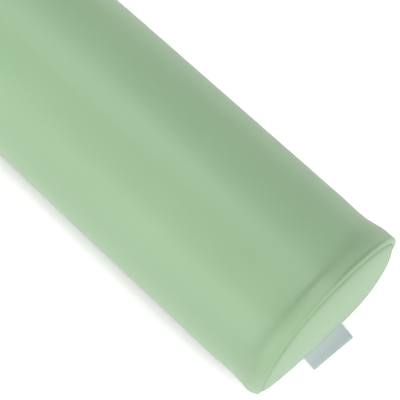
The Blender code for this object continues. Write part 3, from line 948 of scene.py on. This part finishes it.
# The two layers gape on one side, and on the other they lift a little off the table
RIBBON = 0.22 * MM
RIBBON_FOLD = 0.30 * MM
RIBBON_GAPE = 0.55 * MM
LEAST_GAPE = 0.25
GAPE_SIDE = (-0.1, 0.5)
RIBBON_LIFT = 0.5 * MM
LIFT_SIDE = (0.1, 0.5)
LAID_DOWN = 0.75

LABEL_COLUMNS = 28
LABEL_ROWS = 16
WARP = 0.5 * MM
WEFT = 0.9 * MM

# Woven satin ribbon: silver-grey polyester with a soft sheen. Its threads are drawn coarser than
# the real ones, so that they show from close by.
satin, tree, surface, place = new_material("woven_satin_ribbon")
warp = bands(tree, place, WARP, "X", 0.6)
weft = bands(tree, place, WEFT, "Y", 0.8)
threads = add_node(tree, "ShaderNodeMix", {"Factor": 0.35}, {"A": warp, "B": weft})
yarn = add_node(
    tree,
    "ShaderNodeBsdfPrincipled",
    {"Roughness": 0.38, "Sheen Weight": 0.25, "Sheen Roughness": 0.4, "IOR": 1.5},
    {
        "Base Color": two_tone(tree, "#B8C4C8", "#CCD6D9", threads.outputs["Result"]),
        "Normal": relief(tree, threads.outputs["Result"], 0.04 * MM, 0.5),
    },
)
tree.links.new(yarn.outputs["BSDF"], surface)


def label_height(along, across, upper):
    """Height of a layer's face; along is 0 at the seam and 1 at the fold, across -0.5 to 0.5."""
    height = RIBBON + LABEL_ROOT_HEIGHT * (1 - float(ease(along, 0.0, LAID_DOWN)))
    height += RIBBON_LIFT * float(ease(across, *LIFT_SIDE)) * along
    if upper:
        gape = LEAST_GAPE + (1 - LEAST_GAPE) * float(ease(-across, *GAPE_SIDE))
        height += 2 * RIBBON_FOLD + RIBBON_GAPE * gape * (1 - along**6)
    return height


def build_label():
    """Runs out along the lower layer, round the fold, and back along the upper one."""
    stops = [(i / LABEL_ROWS, False) for i in range(LABEL_ROWS + 1)]
    stops += [(i / LABEL_ROWS, True) for i in range(LABEL_ROWS, -1, -1)]
    points = []
    for along, upper in stops:
        for j in range(LABEL_COLUMNS + 1):
            across = j / LABEL_COLUMNS - 0.5
            offset = across * LABEL_WIDTH
            end_x = END_X + LABEL_REACH + offset * tan(LABEL_TURN)
            out = (end_x - LABEL_ROOT_X) * along
            y = LABEL_OFFSET + offset - out * tan(LABEL_TURN)
            points.append((LABEL_ROOT_X + out, y, label_height(along, across, upper)))
    return points, grid_faces(len(stops), LABEL_COLUMNS + 1, closed=False)


label = add_piece("ribbon_label", *build_label(), satin, "satin_ribbon")
give_thickness(label, RIBBON)
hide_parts("label")

# Foam core
# A block of soft polyurethane foam cut round, which fills the cover and carries the load. The
# zip's hem and tapes press a shallow channel into it. It is hidden inside the closed cover.
FOAM_INSET = CLOTH + 0.6 * MM
FOAM_END_INSET = FOAM_INSET + 0.5 * MM
CHANNEL = 2.2 * MM
CHANNEL_REACH = 14 * MM
CHANNEL_SLOPE = 3 * MM
FOAM_COLUMNS = 128
FOAM_SIDE_RINGS = 60
FOAM_DOME_RINGS = 12
CELL = 1.2 * MM

# Open-cell polyurethane foam: cream and quite matt, with a cut face of small round cells
foam_finish, tree, surface, place = new_material("open_cell_foam")
cells = add_node(tree, "ShaderNodeTexVoronoi", {"Scale": 1 / CELL}, {"Vector": place})
cut_foam = add_node(
    tree,
    "ShaderNodeBsdfPrincipled",
    {"Roughness": 0.95},
    {
        "Base Color": two_tone(tree, "#D9D2BE", "#EFE9D8", cells.outputs["Distance"]),
        "Normal": relief(tree, cells.outputs["Distance"], 0.3 * MM, 0.8),
    },
)
tree.links.new(cut_foam.outputs["BSDF"], surface)


def foam_rings(side, turns):
    """(x, radius) rings of half the block, from its middle to the tip of its dome."""
    sides = np.linspace(0, ALLOWANCE_X - MM, FOAM_SIDE_RINGS)
    rings = [(drifted(side, x, turns), tube_radius(x) - FOAM_INSET) for x in sides]
    for i in range(FOAM_DOME_RINGS):
        radius = (DISC_RADIUS - FOAM_INSET) * sin(pi / 2 * (1 - i / FOAM_DOME_RINGS))
        dome = disc_face(side, radius / DISC_RADIUS, turns) - FOAM_END_INSET
        rings.append((side * dome, radius))
    return rings


def build_foam():
    """Turns the block's outline, pressed in along the zip."""
    turns = np.linspace(0, 2 * pi, FOAM_COLUMNS, endpoint=False) + ZIP_TURN
    rings = foam_rings(-1, turns)[::-1] + foam_rings(1, turns)[1:]
    points = [(FOAM_INSET - float(disc_face(-1, 0.0, 0.0)), 0.0, AXIS_HEIGHT)]
    for x, radius in rings:
        channel = CHANNEL * ease(CHANNEL_REACH - to_opening(x, turns), 0.0, CHANNEL_SLOPE)
        points += round_axis(x, radius - channel, turns).tolist()
    last = len(points)
    points.append((float(disc_face(1, 0.0, 0.0)) - FOAM_INSET, 0.0, AXIS_HEIGHT))
    faces = fan_faces(0, 1, FOAM_COLUMNS) + grid_faces(len(rings), FOAM_COLUMNS, first=1)
    faces += [f[::-1] for f in fan_faces(last, last - FOAM_COLUMNS, FOAM_COLUMNS)]
    return points, faces


foam = add_piece("foam_block", *build_foam(), foam_finish, "foam")
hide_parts("foam_core")

# Table, light and camera
# A white table in a bright room, with two softboxes along the near side, two strips overhead and
# daylight from past the labelled end. The roller is seen from high up, past that end.
TABLE_HALF = 4.0
TABLE_BOUNCE = linear("#C8C8C8")
# To the lens the table is brighter than white, and a touch less green
TABLE_SEEN = (1.60, 1.56, 1.60, 1.0)
# Colour of the painted contact shadow, purple-grey against the green the roller throws on the
# table
TABLE_PAINTED_SHADOW = (0.35, 0.08, 0.35, 1.0)
CONTACT_REACH = 0.032
# X over which the painted contact shadow fades out past the labelled end
SHADOW_FADE_X = (0.25, 0.30)


def lens_rays(tree):
    """1 for rays of the lens, of mirrors and of glass, 0 for those that light the object."""
    rays = add_node(tree, "ShaderNodeLightPath").outputs
    seen = rays["Is Camera Ray"]
    for other in ("Is Glossy Ray", "Is Transmission Ray"):
        either = add_node(
            tree, "ShaderNodeMath", {}, {0: seen, 1: rays[other]}, operation="MAXIMUM"
        )
        seen = either.outputs["Value"]
    return seen


# Matt white board: greyer to the roller than to the lens, and clear from below. To the lens it
# carries a painted contact shadow close to the roller, from Ambient Occlusion, which is faded out
# by X position past the labelled end.
white_table, tree, surface, place = new_material("white_table")
bounce = add_node(tree, "ShaderNodeBsdfDiffuse", {"Color": TABLE_BOUNCE})
along = add_node(tree, "ShaderNodeSeparateXYZ", {}, {0: place})
shadow_fade = add_node(
    tree,
    "ShaderNodeMapRange",
    {"From Min": SHADOW_FADE_X[0], "From Max": SHADOW_FADE_X[1]},
    {"Value": along.outputs["X"]},
)
# Painted contact shadow: Ambient Occlusion near the roller moves the table's colour to its shadow
# colour
contact = add_node(tree, "ShaderNodeAmbientOcclusion", {"Distance": CONTACT_REACH}, samples=8)
open_share = add_node(
    tree,
    "ShaderNodeMath",
    {},
    {0: contact.outputs["AO"], 1: shadow_fade.outputs["Result"]},
    operation="MAXIMUM",
)
shaded = add_node(
    tree,
    "ShaderNodeMix",
    {"A": TABLE_PAINTED_SHADOW, "B": TABLE_SEEN},
    {"Factor": open_share.outputs["Value"]},
    data_type="RGBA",
)
paint = add_node(tree, "ShaderNodeBsdfDiffuse", {}, {"Color": shaded.outputs["Result"]})
lit = add_node(
    tree,
    "ShaderNodeMixShader",
    {},
    {0: lens_rays(tree), 1: bounce.outputs["BSDF"], 2: paint.outputs["BSDF"]},
)
below = add_node(tree, "ShaderNodeNewGeometry")
clear = add_node(tree, "ShaderNodeBsdfTransparent")
one_sided = add_node(
    tree,
    "ShaderNodeMixShader",
    {},
    {0: below.outputs["Backfacing"], 1: lit.outputs["Shader"], 2: clear.outputs["BSDF"]},
)
tree.links.new(one_sided.outputs["Shader"], surface)

board = bpy.data.meshes.new("table")
corners = [(x * TABLE_HALF, y * TABLE_HALF, 0) for x, y in ((-1, -1), (1, -1), (1, 1), (-1, 1))]
board.from_pydata(corners, [], [(0, 1, 2, 3)])
board.materials.append(white_table)
new_object("table", board)

# The room's light grows towards +X, past the labelled end; lens and gloss see it plain white
ROOM_LIGHT = 0.13
ROOM_END_LIGHT = 2.05
WHITE = (1, 1, 1, 1)
room = bpy.data.worlds.new("bright_room")
room.use_nodes = True
tree = room.node_tree
tree.nodes.clear()
way = add_node(tree, "ShaderNodeTexCoord").outputs["Generated"]
along = add_node(tree, "ShaderNodeSeparateXYZ", {}, {0: way})
strength = add_node(
    tree,
    "ShaderNodeMapRange",
    {"To Min": ROOM_LIGHT, "To Max": ROOM_LIGHT + ROOM_END_LIGHT},
    {"Value": along.outputs["X"]},
)
walls = add_node(
    tree, "ShaderNodeBackground", {"Color": WHITE}, {"Strength": strength.outputs["Result"]}
)
backdrop = add_node(tree, "ShaderNodeBackground", {"Color": WHITE, "Strength": 1.0})
mixed = add_node(
    tree,
    "ShaderNodeMixShader",
    {},
    {
        0: lens_rays(tree),
        1: walls.outputs["Background"],
        2: backdrop.outputs["Background"],
    },
)
surface = add_node(tree, "ShaderNodeOutputWorld").inputs["Surface"]
tree.links.new(mixed.outputs["Shader"], surface)
bpy.context.scene.world = room


def aim(thing, spot, way):
    """Puts a lamp or a camera at a spot and turns it to look a way."""
    thing.location = spot
    thing.rotation_mode = "QUATERNION"
    thing.rotation_quaternion = way.to_track_quat("-Z", "Y")


# Each lamp's name, place, width, height and watts
LAMP_TARGET = Vector((0, 0, 0.07))
LAMPS = (
    ("near_side_softbox", (0.3, -1.50, 0.56), 1.2, 1.1, 8.6),
    ("far_end_softbox", (-0.9, -1.45, 0.56), 1.6, 1.1, 8.6),
    ("overhead_strip", (0.0, 0.31, 1.86), 1.2, 0.8, 4.1),
    ("far_overhead_strip", (-0.6, 0.31, 1.8), 1.2, 0.9, 9.5),
)
for name, spot, width, height, power in LAMPS:
    lamp = bpy.data.lights.new(name, "AREA")
    lamp.shape = "RECTANGLE"
    lamp.size = width
    lamp.size_y = height
    lamp.energy = power
    aim(new_object(name, lamp), spot, LAMP_TARGET - Vector(spot))

# The camera was solved from the outline, the end seam and the label of the photographed roller
CAMERA_SPOT = (0.3401, -0.1752, 0.8347)
CAMERA_YAW = radians(133.66)
CAMERA_PITCH = radians(72.03)
lens = bpy.data.cameras.new("camera")
lens.lens = 96.09
lens.sensor_width = 36.0
lens.clip_start = 0.05
level = cos(CAMERA_PITCH)
sight = Vector((level * cos(CAMERA_YAW), level * sin(CAMERA_YAW), -sin(CAMERA_PITCH)))
camera = new_object("camera", lens)
aim(camera, CAMERA_SPOT, sight)
bpy.context.scene.camera = camera
bpy.context.scene.view_settings.view_transform = "Standard"
